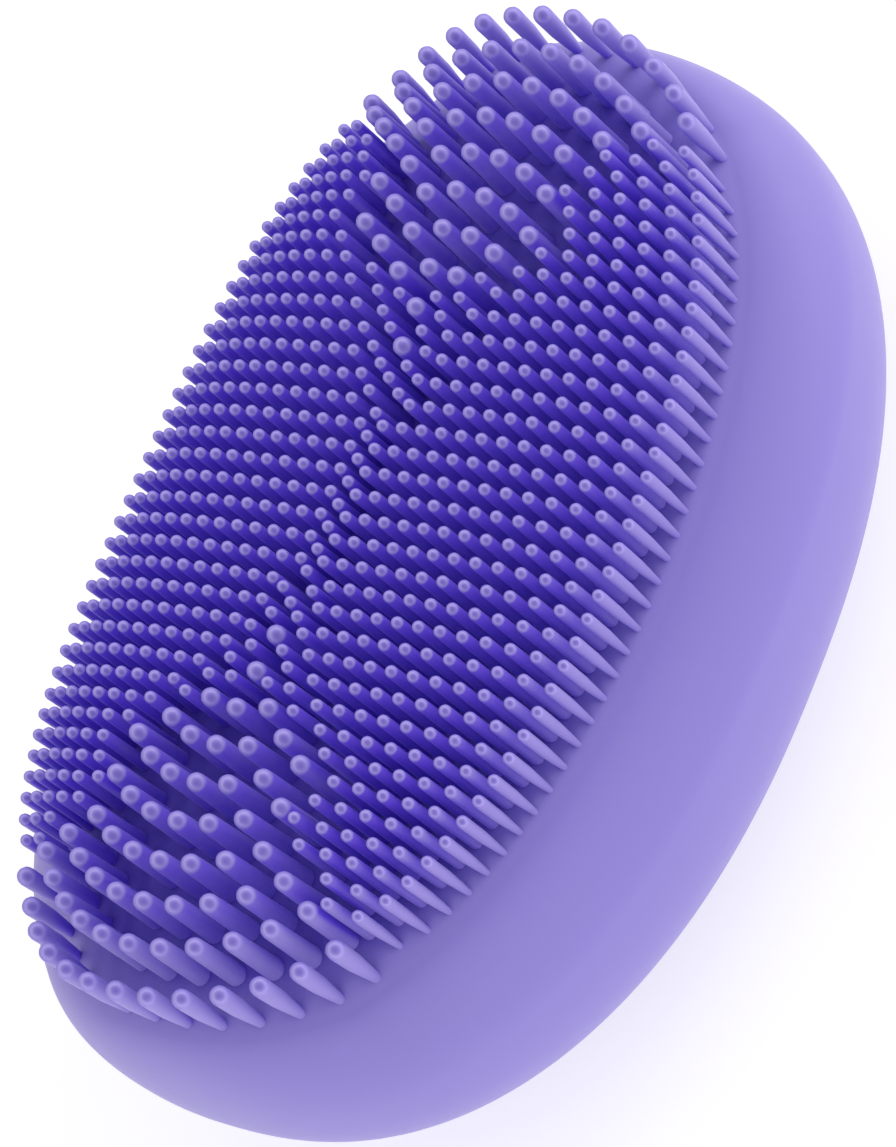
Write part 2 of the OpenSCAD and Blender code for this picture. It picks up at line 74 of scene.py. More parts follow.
# ---- Sizes of the moulded forms ----
PLAN_N = 2.3            # squareness of the plan outline, where 2 is an ellipse
BACK_N = 2.4            # squareness of the turn from the side to the back
FLAT = 0.3              # flat part of the back, as a share of the plan
SKIN = 1.8              # thickness of the sleeve and the cover
DOME = 7.5              # rise of the dome that the sleeve's inside follows
LIP = 0.76              # opening of the sleeve on the back, as a share of the plan
COVER_RIM = LIP - 0.01  # edge of the cover, as a share of the plan
LIP_LEAN, RIM_LEAN = 0.04, 0.035    # how much wider both are on the inside
SHOULDER_TURN, SHOULDER_MORE = 68, 20       # degrees the shoulder turns through, and more at the ends
DOME_TURN = 86          # degrees the dome turns through
RECESS_R, RECESS_Z = 9.0, 0.7       # recess round the button, and its floor
LEDGE_R, LEDGE_Z = 7.65, 1.25       # opening in that floor, and its top
POCKET_R = 9.4          # pocket above the floor
PORT_R = 2.7            # radius of the sleeve's hole round the socket
PORT_DEPTH, PORT_L = 3, 10          # how far inside the barrel's end its cutter starts, and its length
FIELD_W, FIELD_L = 23.8, 39.0       # half width and half length of the bristle field
TIP_H = 12.7            # height of the tips above the widest section, at the centre
TIP_DROP = 3.3          # fall of the tips from the centre to the rim of the field
TIP_N = 3.8             # how late they fall towards the rim
END_RISE = 4.4          # rise of the tips towards both ends
RISE_Y, RISE_W = 43.0, 14.0         # where that rise levels out
BRISTLE_L = 5.4         # length of the bristles
ROOT = 0.8              # how far a bristle's root reaches into the skin
FINE_R, THICK_R = 0.45, 0.70        # radii of the two kinds of bristle

RING_COUNT = 320        # points round each ring of the skin


# ---- Shape of the body ----

def oval(half_w, half_l, count=RING_COUNT, power=2 / PLAN_N):
    """Points of the plan outline as arrays x, y; a power of 1 gives an ellipse."""
    t = np.arange(count) * 2 * math.pi / count
    c, s = np.cos(t), np.sin(t)
    return half_w * np.sign(c) * np.abs(c) ** power, half_l * np.sign(s) * np.abs(s) ** power


def reach(x, y, half_w, half_l):
    """Relative radius of a plan point: 0 at the centre, 1 on the outline."""
    return ((np.abs(x) / half_w) ** PLAN_N + (np.abs(y) / half_l) ** PLAN_N) ** (1 / PLAN_N)


def field_half(y):
    """Half width of the bristle field at y."""
    return FIELD_W * np.clip(1 - np.abs(y / FIELD_L) ** PLAN_N, 0, 1) ** (1 / PLAN_N)


def tip_height(x, y):
    """Height of the bristle tips: a saddle that rises towards both ends."""
    r = reach(x, y, FIELD_W, FIELD_L)
    u = np.minimum(1, np.abs(x) / np.maximum(field_half(y), RISE_W))
    share = (1 - np.cos(math.pi * np.minimum(1, np.abs(y) / RISE_Y))) / 2
    return MID_Z + TIP_H - TIP_DROP * r ** TIP_N + END_RISE * share * (1 - u * u / 2)


def back_height(x, y, depth):
    """Height of the back, depth below the outer surface."""
    fall = np.clip((reach(x, y, HALF_W - depth, HALF_L - depth) - FLAT) / (1 - FLAT), 0, 1)
    return MID_Z - (MID_Z - depth) * (1 - fall ** BACK_N) ** (1 / BACK_N)


def back_ring(r, depth):
    """Ring on the back at relative radius r, depth below the outer surface."""
    x, y = oval(r * (HALF_W - depth), r * (HALF_L - depth))
    return np.stack([x, y, back_height(x, y, depth)], 1)


def back_rings(r_start, depth, steps):
    """Rings from relative radius r_start on the back out to the rim."""
    start = math.acos(((r_start - FLAT) / (1 - FLAT)) ** (BACK_N / 2))
    sweep = [start * (1 - i / steps) for i in range(steps + 1)]
    return [back_ring(FLAT + (1 - FLAT) * math.cos(a) ** (2 / BACK_N), depth) for a in sweep]


def shoulder_rings(steps):
    """Rings of the front skin from the rim in to the edge of the bristle field."""
    rim_x, rim_y = oval(HALF_W, HALF_L)
    edge_x, edge_y = oval(FIELD_W, FIELD_L)
    rise = tip_height(edge_x, edge_y) - BRISTLE_L - MID_Z
    t = np.arange(RING_COUNT) * 2 * math.pi / RING_COUNT
    sweep = np.radians(SHOULDER_TURN + SHOULDER_MORE * np.abs(np.sin(t)))
    rings = []
    for i in range(1, steps + 1):
        a = sweep * i / steps
        share = (1 - np.cos(a)) / (1 - np.cos(sweep))
        x, y = rim_x + share * (edge_x - rim_x), rim_y + share * (edge_y - rim_y)
        rings.append(np.stack([x, y, MID_Z + rise * np.sin(a) / np.sin(sweep)], 1))
    return rings


def bed_rings(steps):
    """Rings of the skin that the bristles stand on, from the field's edge to the centre."""
    rings = []
    for i in range(1, steps):
        x, y = oval(FIELD_W * (1 - i / steps), FIELD_L * (1 - i / steps))
        rings.append(np.stack([x, y, tip_height(x, y) - BRISTLE_L], 1))
    return rings


def button_ring(radius, z):
    """Level ring round the button's axis."""
    x, y = oval(radius, radius, power=1)
    return np.stack([x, y + BUTTON_Y, np.full_like(x, z)], 1)


def cover_rings(r, depth, hole_r, steps):
    """Rings on the back from relative radius r in to a round hole at the button."""
    edge, hole = back_ring(r, depth), button_ring(hole_r, 0)
    rings = []
    for i in range(steps + 1):
        x, y = (edge + (hole - edge) * i / steps).T[:2]
        rings.append(np.stack([x, y, back_height(x, y, depth)], 1))
    return rings


def dome_rings(depth, steps):
    """Rings of the dome on the inside of the front."""
    rings = []
    for i in range(1, steps + 1):
        a = math.radians(DOME_TURN * i / steps)
        x, y = oval(math.cos(a) * (HALF_W - depth), math.cos(a) * (HALF_L - depth))
        rings.append(np.stack([x, y, np.full_like(x, MID_Z + (DOME - depth) * math.sin(a))], 1))
    return rings


# ---- Mesh building ----

def mesh_object(name, points_mm, faces):
    """New object from points in millimetres, with its normals turned outwards."""
    mesh = bpy.data.meshes.new(name)
    mesh.from_pydata((np.asarray(points_mm) * MM).tolist(), [], faces)
    shape = bmesh.new()
    shape.from_mesh(mesh)
    bmesh.ops.recalc_face_normals(shape, faces=shape.faces)
    shape.to_mesh(mesh)
    shape.free()
    piece = bpy.data.objects.new(name, mesh)
    bpy.context.scene.collection.objects.link(piece)
    return piece


def band_faces(count, bands):
    """Faces between neighbouring rings of count points each."""
    faces = []
    for k in range(bands):
        for i in range(count):
            j = (i + 1) % count
            faces.append((k * count + i, k * count + j, (k + 1) * count + j, (k + 1) * count + i))
    return faces


def shell_object(name, outer, inner):
    """Closed shell: both ring lists start at the open rim and end at the middle."""
    rings = inner[::-1] + outer
    count = len(rings[0])
    faces = band_faces(count, len(rings) - 1)
    points = np.concatenate(rings)
    for ring, first in ((rings[0], 0), (rings[-1], (len(rings) - 1) * count)):
        middle = len(points)
        points = np.concatenate([points, ring.mean(0)[None]])
        faces += [(first + i, first + (i + 1) % count, middle) for i in range(count)]
    return mesh_object(name, points, faces)


def loop_object(name, rings):
    """Solid whose rings run once round a closed section, so that the last meets the first."""
    points = np.concatenate(rings)
    faces = band_faces(len(rings[0]), len(rings))
    return mesh_object(name, points, [tuple(i % len(points) for i in face) for face in faces])


def lathe(name, profile, centre, count=96):
    """Solid turned about an upright axis; profile is a list of (radius, height) between flat ends."""
    x0, y0 = centre
    angles = np.arange(count) * 2 * math.pi / count
    points = [(x0 + r * math.cos(a), y0 + r * math.sin(a), z) for r, z in profile for a in angles]
    faces = band_faces(count, len(profile) - 1)
    faces.append(tuple(range(count)))
    faces.append(tuple((len(profile) - 1) * count + i for i in range(count)))
    return mesh_object(name, points, faces)


def bake_modifiers(piece):
    """Replaces a piece's mesh by the mesh its modifiers give."""
    graph = bpy.context.evaluated_depsgraph_get()
    baked = bpy.data.meshes.new_from_object(piece.evaluated_get(graph))
    piece.modifiers.clear()
    piece.data = baked


def cut(piece, cutter):
    """Takes the cutter's volume out of the piece and removes the cutter."""
    change = piece.modifiers.new("cut", "BOOLEAN")
    change.operation = "DIFFERENCE"
    change.solver = "EXACT"
    change.object = cutter
    bake_modifiers(piece)
    bpy.data.objects.remove(cutter)


def store_values(piece, name, values):
    """Stores one value per vertex on the mesh, for its material to read."""
    store = piece.data.attributes.new(name, "FLOAT", "POINT")
    store.data.foreach_set("value", np.asarray(values, np.float32))


def smooth(piece, sharp_deg=35):
    """Smooth shading, with edges that turn by more than sharp_deg left crisp."""
    piece.data.shade_smooth()
    piece.data.set_sharp_from_angle(angle=math.radians(sharp_deg))


def soften_edges(piece, width_mm, sharp_deg=40):
    """Small round on every sharp edge, as a mould leaves."""
    change = piece.modifiers.new("soften", "BEVEL")
    change.width = width_mm * MM
    change.segments = 3
    change.limit_method = "ANGLE"
    change.angle_limit = math.radians(sharp_deg)
    change.harden_normals = True


def finish_piece(piece, material, slot_name, body, *nodes):
    """Gives a piece its material, lets it ride on its body and hides what it replaces; its slot name is
    not used.
    """
    piece.data.materials.clear()
    piece.data.materials.append(material)
    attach(piece, body)
    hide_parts(*nodes)


# ---- Materials ----

class Finish:
    """One procedural material and short ways to add and join its nodes."""

    def __init__(self, name, metallic=0.0):
        self.material = bpy.data.materials.new(name)
        self.material.use_nodes = True
        self.tree = self.material.node_tree
        self.shader = self.tree.nodes["Principled BSDF"]
        self.shader.inputs["Metallic"].default_value = metallic
        self.place = self.add("ShaderNodeTexCoord").outputs["Object"]

    def add(self, kind, settings=None, **inputs):
        node = self.tree.nodes.new(kind)
        for key, value in (settings or {}).items():
            setattr(node, key, value)
        self.put(node, **inputs)
        return node

    def put(self, node, **inputs):
        for key, value in inputs.items():
            socket = node.inputs[key.replace("_", " ")]
            if isinstance(value, bpy.types.NodeSocket):
                self.tree.links.new(value, socket)
            else:
                socket.default_value = value

    def noise(self, scale, detail=3.0, roughness=0.5):
        node = self.add("ShaderNodeTexNoise", Vector=self.place, Scale=scale, Detail=detail,
                        Roughness=roughness)
        return node.outputs["Fac"]

    def ramp(self, factor, stops):
        """Colour ramp; stops is a list of (place, linear colour)."""
        node = self.add("ShaderNodeValToRGB", Fac=factor)
        band = node.color_ramp
        while len(band.elements) < len(stops):
            band.elements.new(1.0)
        for element, (place, colour) in zip(band.elements, stops):
            element.position = place
            element.color = (*colour, 1)
        return node.outputs["Color"]

    def attribute(self, name):
        """Value stored on the mesh under that name."""
        return self.add("ShaderNodeAttribute", {"attribute_name": name}).outputs["Fac"]

    def span(self, factor, low, high):
        """Spreads a 0 to 1 value over low to high."""
        node = self.add("ShaderNodeMapRange", Value=factor, To_Min=low, To_Max=high)
        return node.outputs["Result"]

    def between(self, factor, first, second, kind="MIX"):
        node = self.add("ShaderNodeMixRGB", {"blend_type": kind}, Fac=factor, Color1=first,
                        Color2=second)
        return node.outputs["Color"]

    def maths(self, operation, first, second):
        node = self.add("ShaderNodeMath", {"operation": operation})
        for socket, value in zip(node.inputs, (first, second)):
            if isinstance(value, bpy.types.NodeSocket):
                self.tree.links.new(value, socket)
            else:
                socket.default_value = value
        return node.outputs["Value"]

    def bump(self, height, strength, distance_mm):
        node = self.add("ShaderNodeBump", Strength=strength, Distance=distance_mm * MM,
                        Height=height)
        self.put(self.shader, Normal=node.outputs["Normal"])

    def surface(self, colour, roughness):
        self.put(self.shader, Base_Color=colour, Roughness=roughness)


def rgb(red, green, blue):
    """Linear colour from display values of 0 to 255."""
    return tuple(((v / 255 + 0.055) / 1.055) ** 2.4 for v in (red, green, blue))


def silicone(name, shade_mm):
    """Start of a matte silicone: its finish, and how open each point is within shade_mm, 0 to 1."""
    f = Finish(name)
    # Ambient occlusion within shade_mm, which the silicone materials turn into painted shade and painted
    # light.
    closed = f.add("ShaderNodeAmbientOcclusion", {"samples": 8}, Distance=shade_mm * MM)
    f.put(f.shader, Specular_IOR_Level=0.35, Subsurface_Weight=0.12, Subsurface_Scale=0.6 * MM,
          Subsurface_Radius=(1.0, 0.8, 1.6), Sheen_Weight=0.12, Sheen_Roughness=0.5)
    f.bump(f.noise(2500, 2), 0.12, 0.05)
    return f, closed.outputs["AO"]


def skin_silicone():
    """Violet skin with painted shade, deepest between the bristles and a little beside them, and a
    painted pale rim light where it turns away from the eye.
    """
    f, openness = silicone("silicone_skin", 6.0)
    # Painted shade on the bed: the skin's colour darkens with ambient occlusion between the bristles.
    bed = f.ramp(openness, [(0.0, rgb(58, 32, 160)), (0.35, rgb(70, 48, 172)),
                            (0.6, rgb(100, 82, 192)), (0.85, rgb(143, 128, 212))])
    # Painted shade outside the bed: the skin darkens a little where the bristles crowd it.
    side = f.ramp(openness, [(0.3, rgb(132, 117, 203)), (0.6, rgb(148, 133, 212)),
                             (1.0, rgb(149, 135, 217))])
    # The bed mask picks the deeper painted shade inside the field.
    colour = f.between(f.attribute("bed"), side, bed)
    mottled = f.span(f.noise(70, 4), 0.98, 1.02)
    colour = f.between(1.0, colour, mottled, "MULTIPLY")
    # Painted rim light: the skin's colour turns pale towards its outline, where it turns away from the
    # eye.
    facing = f.add("ShaderNodeLayerWeight", Blend=0.3).outputs["Facing"]
    painted_rim_light = f.maths("MULTIPLY", f.maths("POWER", facing, 2.0), 0.12)
    colour = f.between(painted_rim_light, colour, (*rgb(200, 197, 226), 1))
    f.surface(colour, f.span(f.noise(400, 3), 0.46, 0.6))
    return f.material


def bristle_silicone():
    """Blue-violet shafts with painted shade where neighbours crowd them and painted light where nothing
    shades them, and round tips with painted light and shade that follow the angle to the eye.
    """
    f, openness = silicone("silicone_bristles", 3.0)
    # Painted shade: the shafts darken and deepen in colour where neighbours crowd them.
    painted_shaft_shade = f.ramp(openness, [(0.0, rgb(92, 54, 216)), (0.5, rgb(118, 80, 238))])
    # Painted light: a shaft turns pale where it is open enough for its place along the bristle.
    surplus = f.maths("SUBTRACT", openness, f.span(f.attribute("along"), 0.36, 0.92))
    pale = f.add("ShaderNodeMapRange", Value=surplus, From_Min=-0.1, From_Max=0.12).outputs["Result"]
    shaft = f.between(pale, painted_shaft_shade, (*rgb(160, 145, 224), 1))
    # Painted light and shade on the tips: a pale ring with a darker centre and a darker edge, by the
    # angle to the eye.
    facing = f.add("ShaderNodeLayerWeight", Blend=0.5).outputs["Facing"]
    painted_tip_shading = f.ramp(facing, [(0.0, rgb(122, 106, 198)), (0.06, rgb(138, 122, 210)),
                            (0.2, rgb(176, 162, 236)), (0.55, rgb(150, 134, 224)),
                            (1.0, rgb(104, 84, 206))])
    f.surface(f.between(f.attribute("tip"), shaft, painted_tip_shading), f.span(f.noise(400, 3), 0.42, 0.56))
    return f.material


def moulded(name, colour, roughness=0.4, grain=1500, grain_depth=0.03):
    """Moulded plastic or rubber with a fine spark-eroded grain and slight tone changes."""
    f = Finish(name)
    tone = f.noise(90, 4)
    darker = tuple(0.93 * v for v in colour)
    f.surface(f.ramp(tone, [(0.3, darker), (0.7, colour)]),
              f.span(f.noise(250, 3), roughness - 0.07, roughness + 0.08))
    f.bump(f.noise(grain, 3), 0.3, grain_depth)
    return f.material


def metal(name, colour, roughness=0.3, streaks=(40, 900)):
    """Metal with drawn or turned streaks."""
    f = Finish(name, metallic=1.0)
    along, across = streaks
    stretch = f.add("ShaderNodeMapping", Vector=f.place, Scale=(across, along, across))
    lines = f.add("ShaderNodeTexNoise", Vector=stretch.outputs["Vector"], Scale=1.0, Detail=4.0)
    lines = lines.outputs["Fac"]
    dull = tuple(0.72 * v for v in colour)
    f.surface(f.ramp(lines, [(0.35, dull), (0.65, colour)]),
              f.span(lines, roughness - 0.08, roughness + 0.12))
    f.bump(lines, 0.25, 0.01)
    return f.material


def light_guide(name):
    """Milky plastic that lets light through."""
    f = Finish(name)
    cloud = f.noise(120, 4)
    f.surface(f.ramp(cloud, [(0.3, rgb(232, 230, 246)), (0.7, rgb(246, 245, 252))]),
              f.span(f.noise(600, 2), 0.22, 0.32))
    f.put(f.shader, Transmission_Weight=0.25, Subsurface_Weight=0.5, Subsurface_Scale=0.8 * MM)
    f.bump(f.noise(900, 2), 0.1, 0.02)
    return f.material


def board_finish(name):
    """Green solder mask over copper tracks."""
    f = Finish(name)
    tracks = f.add("ShaderNodeTexVoronoi", {"feature": "DISTANCE_TO_EDGE", "distance": "MANHATTAN"},
                   Vector=f.place, Scale=450.0)
    raised = f.add("ShaderNodeMapRange", Value=tracks.outputs["Distance"], From_Min=0.08,
                   From_Max=0.12).outputs["Result"]
    f.surface(f.between(raised, (*rgb(26, 110, 62), 1), (*rgb(14, 78, 44), 1)),
              f.span(f.noise(500, 3), 0.25, 0.4))
    f.bump(f.maths("SUBTRACT", 1.0, raised), 0.4, 0.04)
    return f.material


def foil(name):
    """Dull crinkled pouch foil."""
    f = Finish(name, metallic=0.9)
    crinkle = f.noise(260, 6, 0.6)
    f.surface(f.ramp(crinkle, [(0.35, rgb(160, 165, 174)), (0.65, rgb(205, 209, 214))]),
              f.span(crinkle, 0.3, 0.5))
    f.bump(crinkle, 0.5, 0.2)
    return f.material


def foam(name):
    """Dark open-cell foam."""
    f = Finish(name)
    cells = f.add("ShaderNodeTexVoronoi", Vector=f.place, Scale=1800.0).outputs["Distance"]
    f.surface(f.ramp(cells, [(0.1, rgb(30, 30, 33)), (0.7, rgb(84, 84, 90))]), 0.9)
    f.bump(cells, 0.9, 0.2)
    return f.material


def windings(name):
    """Enamelled copper wire laid in turns."""
    f = Finish(name, metallic=0.9)
    turns = f.add("ShaderNodeTexWave", {"bands_direction": "Y"}, Vector=f.place, Scale=700.0,
                  Distortion=0.6).outputs["Fac"]
    f.surface(f.ramp(turns, [(0.1, rgb(120, 58, 26)), (0.7, rgb(214, 128, 70))]),
              f.span(turns, 0.45, 0.25))
    f.bump(turns, 0.7, 0.08)
    return f.material


def lamp(name):
    """Clear-topped lamp over a yellow phosphor."""
    f = Finish(name)
    grains = f.noise(3000, 2)
    f.surface(f.ramp(grains, [(0.3, rgb(246, 226, 150)), (0.7, rgb(255, 247, 206))]),
              f.span(grains, 0.12, 0.2))
    f.put(f.shader, Coat_Weight=0.6)
    return f.material


def slot_materials():
    """One material for each of the record's slots that a CAD node still shows."""
    return {
        "housing": moulded("housing_white", rgb(238, 238, 241), 0.42),
        "seal": moulded("seal_rubber", rgb(40, 40, 43), 0.65, grain=900),
        "screws": metal("zinc_plate", rgb(214, 216, 221), 0.28),
        "light_guide": light_guide("milky_guide"),
        "board": board_finish("solder_mask"),
        "dark_plastic": moulded("dark_plastic", rgb(32, 32, 35), 0.38),
        "pale_plastic": moulded("ivory_plastic", rgb(231, 225, 208), 0.4),
        "led": lamp("lamp"),
        "cell_foil": foil("cell_foil"),
        "foam": foam("foam"),
        "red_lead": moulded("red_insulation", rgb(196, 34, 28), 0.35, grain=700),
        "motor_steel": metal("drawn_steel", rgb(204, 206, 210), 0.3),
        "bronze": metal("bronze", rgb(196, 154, 88), 0.42),
        "magnet": moulded("ferrite", rgb(52, 52, 56), 0.6, grain=2200, grain_depth=0.05),
        "copper": windings("windings"),
        "black_lead": moulded("black_insulation", rgb(28, 28, 31), 0.35, grain=700),
        "weight": metal("sintered_weight", rgb(156, 156, 152), 0.5, streaks=(500, 500)),
        "jack_metal": metal("nickel_plate", rgb(224, 224, 228), 0.18),
    }


# ---- Bristle layout ----

ROW_PITCH = 1.79        # spacing of the rows of fine bristles along Y
COLUMN_PITCH = 1.82     # spacing within a row
FIRST_COLUMN = 1.2      # first column beside the centre line
COLUMNS = 13            # columns of fine bristles on each side
ROW_SHIFT = -0.085      # the rows' offset from the pattern's middle
CENTRE_ROWS = 4         # bristles on the centre line, to each side of the middle
PATTERN_Y = 0.43        # middle of the pattern along the body
FOLLOW_EDGE = 0.895     # how closely the columns follow the narrowing of the field
THICK_CLEAR = 1.9       # a fine bristle needs this much room from a thick one
THICK_NEAR = 2.7        # and no more than two thick ones within this distance
CLOSER_FROM, CLOSER = 17.5, 0.085       # where the rows start to close up, and by which share
THICK_STEP = 2.825      # spacing of the thick bristles along their arcs
ARC_FIRST, ARC_PITCH = 11.42, 2.992     # first arc's place along Y, and the arcs' spacing
ARC_R_FIRST, ARC_R_GROWTH = 6.67, 1.369     # first arc's radius, and its growth per arc
ARC_SIDES = (0, 0, 1, 2, 3, 3, 3, 4, 5)     # thick bristles on each side of the centre, by arc
# Fine bristles that line the opening between the rows and the arcs, in one quarter
SEAM = ((0, 8.9), (1.4, 7.8), (2.7, 9.0), (1.25, 9.9), (2.5, 11.1), (1.5, 12.6), (1.75, 15.2),
        (2.75, 13.8), (3.9, 15.3), (5.2, 16.9))
PULL_X, PULL_Y = 0.9, 0.3       # how far a fine bristle beside a thick one is drawn inwards
PULL_REACH_X, PULL_REACH_Y = 1.3, 0.8       # distances over which that fades
SEAM_CLEAR = 1.5        # a row's bristle needs this much room from one of the seam
RIM_INSET = 0.45        # how far the outermost bristles stand inside the field's edge
RIM_SLACK = 1.02        # how far past that line a row may still reach, as a share
RIM_THICK = 6           # thick bristles on each side of the centre in the rim row


def mirrored(points):
    """Points of one quarter repeated left to right and end to end, without doubles."""
    kept = []
    for x, y in points:
        for sx in ((1, -1) if x > 0 else (1,)):
            kept += [(sx * x, y), (sx * x, -y)]
    return kept


def rim_points():
    """Thick bristles of the rim row at one end, evenly spaced along the field's outline."""
    x, y = oval(FIELD_W - RIM_INSET, FIELD_L - RIM_INSET, 4000)
    quarter = sorted((a, b) for a, b in zip(x, y) if a > 0.01 and b > 0)
    start = (0.0, FIELD_L - RIM_INSET)
    points, run, last = [start], 0.0, start
    for point in quarter:
        run += math.dist(point, last)
        last = point
        if run >= THICK_STEP:
            points.append(point)
            run = 0.0
        if len(points) > RIM_THICK:
            break
    return points


def thick_points():
    """Places of the thick bristles: arcs that grow towards both ends, and the rim row."""
    points = []
    for j, sides in enumerate(ARC_SIDES):
        radius = ARC_R_FIRST + ARC_R_GROWTH * j
        for m in range(sides + 1):
            a = m * THICK_STEP / radius
            points.append((radius * math.sin(a), ARC_FIRST + ARC_PITCH * j - radius * (1 - math.cos(a))))
    return np.array(mirrored(points + rim_points()))


def lattice_points():
    """Rows and columns of fine bristles over the whole field, with a staggered centre line."""
    points = []
    rows = int(FIELD_L / ROW_PITCH) + 1
    for i in range(-rows, rows + 1):
        y = i * ROW_PITCH + ROW_SHIFT
        if abs(y) >= FIELD_L:
            continue
        narrowing = FOLLOW_EDGE * (FIELD_W - field_half(y))
        y -= math.copysign(CLOSER * max(0, abs(y) - CLOSER_FROM), y)
        for k in range(COLUMNS):
            x = FIRST_COLUMN + k * COLUMN_PITCH - narrowing
            if x > FIRST_COLUMN / 2:
                points += [(x, y), (-x, y)]
    points += [(0, (i + 0.5) * ROW_PITCH + ROW_SHIFT) for i in range(-CENTRE_ROWS, CENTRE_ROWS)]
    return np.array(points)


def distance_to(points, others):
    """Distance from each point to the nearest of the others."""
    return np.linalg.norm(points[:, None] - others[None], axis=2).min(1)


def fine_points(thick):
    """Fine bristles: rows drawn in a little towards the thick ones, and the seam beside those."""
    points = lattice_points()
    seam = np.array(mirrored(SEAM))
    inside = reach(points[:, 0], points[:, 1], FIELD_W - RIM_INSET, FIELD_L - RIM_INSET) < RIM_SLACK
    crowd = (np.linalg.norm(points[:, None] - thick[None], axis=2) < THICK_NEAR).sum(1)
    points = points[inside & (distance_to(points, thick) > THICK_CLEAR) & (crowd < 3)
                    & (distance_to(points, seam) > SEAM_CLEAR)]
    room = (distance_to(points, thick) - THICK_CLEAR)[:, None]
    pull = np.hstack([PULL_X * np.exp(-room / PULL_REACH_X), PULL_Y * np.exp(-room / PULL_REACH_Y)])
    return np.concatenate([points - np.sign(points) * pull, seam])


# ---- Pieces ----

def part_way(value, start, end):
    """How far value has come from start to end, as 0 to 1."""
    return min(1, max(0, (value - start) / (end - start)))


def bristle_profile(radius, rim_share):
    """Rings of one bristle from the tip down, as (radius, depth, weight of the painted tip shading).

    Bristles widen towards the root, and those of the rim taper instead.
    """
    length = BRISTLE_L + ROOT
    domes = [math.radians(a) for a in (72, 48, 24, 0)]
    rings = [(radius * math.cos(a), radius * (1 - math.sin(a)), 1.0) for a in domes]
    rings += [(radius, radius * 1.45, 0.0), (radius * (1.04 - 0.1 * rim_share), length * 0.45, 0.0)]
    return rings + [(radius * (1.12 - 0.5 * rim_share), length * 0.8, 0.0),
                    (radius * (1.2 - 0.75 * rim_share), length, 0.0)]


def bristle_faces(first, count, sides):
    """Faces of one bristle of count rings, whose tip is the point numbered first."""
    faces = []
    for i in range(sides):
        j = (i + 1) % sides
        column = [(first + 1 + k * sides + i, first + 1 + k * sides + j) for k in range(count)]
        faces.append((first, *column[0]))
        faces += [(a, c, d, b) for (a, b), (c, d) in zip(column, column[1:])]
    faces.append(tuple(first + 1 + (count - 1) * sides + i for i in range(sides)))
    return faces


def bristles(name, places, radius, sides, material):
    """All bristles of one kind as a single piece, each rooted in the skin."""
    turn = np.arange(sides) * 2 * math.pi / sides
    points, along, tip, faces = [], [], [], []
    for x, y in places:
        top = float(tip_height(x, y - PATTERN_Y))
        r = float(reach(x, y - PATTERN_Y, FIELD_W, FIELD_L))
        rings = bristle_profile(radius, part_way(r, 0.9, 0.96))
        faces += bristle_faces(len(points), len(rings), sides)
        points.append((x, y, top))
        along.append(1.0)
        tip.append(1.0)
        for ring_r, depth, tip_shading_weight in rings:
            points += [(x + ring_r * math.cos(a), y + ring_r * math.sin(a), top - depth) for a in turn]
            # Painted light weight: the higher it is, the more open a shaft must be before it is painted
            # pale; it is lowered on the rim rows so that their shafts are painted paler.
            along += [(1 - depth / BRISTLE_L) * (1 - 0.55 * part_way(r, 0.8, 0.94))] * sides
            # Weight of the painted tip shading: 1 on the round tip, 0 on the shaft.
            tip += [tip_shading_weight] * sides
    piece = mesh_object(name, points, faces)
    store_values(piece, "along", along)
    store_values(piece, "tip", tip)
    smooth(piece, 80)
    finish_piece(piece, material, "silicone", SHELL, "bristle_sleeve")


def sleeve_skin(material):
    """The moulded skin without its bristles: back edge, sides, shoulder and bed."""
    outer = back_rings(LIP, 0, 24) + shoulder_rings(18) + bed_rings(28)
    inner = back_rings(LIP + LIP_LEAN, SKIN, 12) + dome_rings(SKIN, 12)
    piece = shell_object("sleeve_skin", outer, inner)
    port = lathe("port_cutter", [(PORT_R, 0), (PORT_R, PORT_L)], (0, 0))
    port.matrix_world = (Matrix.Translation(Vector((0, BARREL_HIGH.y - PORT_DEPTH, SOCKET_Z)) * MM)
                         @ Matrix.Rotation(math.radians(-90), 4, "X"))
    cut(piece, port)
    spots = np.array([v.co for v in piece.data.vertices]) / MM
    inwards = 1 - reach(spots[:, 0], spots[:, 1], FIELD_W, FIELD_L)
    # Mask of the bed inside the field, where the skin's painted shade between the bristles is deepest.
    store_values(piece, "bed", np.clip(inwards / 0.1, 0, 1) * (spots[:, 2] > MID_Z))
    smooth(piece)
    finish_piece(piece, material, "silicone", SHELL, "bristle_sleeve")


def cover_plate(material):
    """Cover on the back: dished plate with a stepped recess for the button."""
    recess = [button_ring(RECESS_R, RECESS_Z), button_ring(LEDGE_R, RECESS_Z),
              button_ring(LEDGE_R, LEDGE_Z), button_ring(POCKET_R, LEDGE_Z)]
    outer = cover_rings(COVER_RIM, 0, RECESS_R, 36)
    inner = cover_rings(COVER_RIM + RIM_LEAN, SKIN, POCKET_R, 18)
    piece = loop_object("cover_plate", outer + recess + inner[::-1])
    smooth(piece)
    finish_piece(piece, material, "cover", SHELL, "rear_cover")


def button_cap(material):
    """Push button with a dished face and a round edge."""
    face, top = BUTTON_LOW.z, BUTTON_HIGH.z
    profile = [(0.6, face + 0.42), (2.0, face + 0.38), (3.4, face + 0.27), (4.6, face + 0.1),
               (5.2, face + 0.02), (5.6, face + 0.03), (5.8, face + 0.12), (5.9, face + 0.32),
               (5.9, 1.95), (6.8, 1.95), (6.8, 2.55), (2.0, 2.55), (2.0, top)]
    piece = lathe("button_cap", profile, (0, BUTTON_Y))
    smooth(piece, 50)
    finish_piece(piece, material, "button", BUTTON, "power_button")


def dress_nodes(materials):
    """Gives every CAD node that is still shown the material of its slot."""
    slots = {p["node"]: p["material_slot"] for p in frame["record"]["subparts"]}
    for name, node in frame["nodes"].items():
        if node.hide_render:
            continue
        node.data.materials.clear()
        node.data.materials.append(materials[slots[name]])
        soften_edges(node, 0.08)


# ---- Floor, light and camera ----

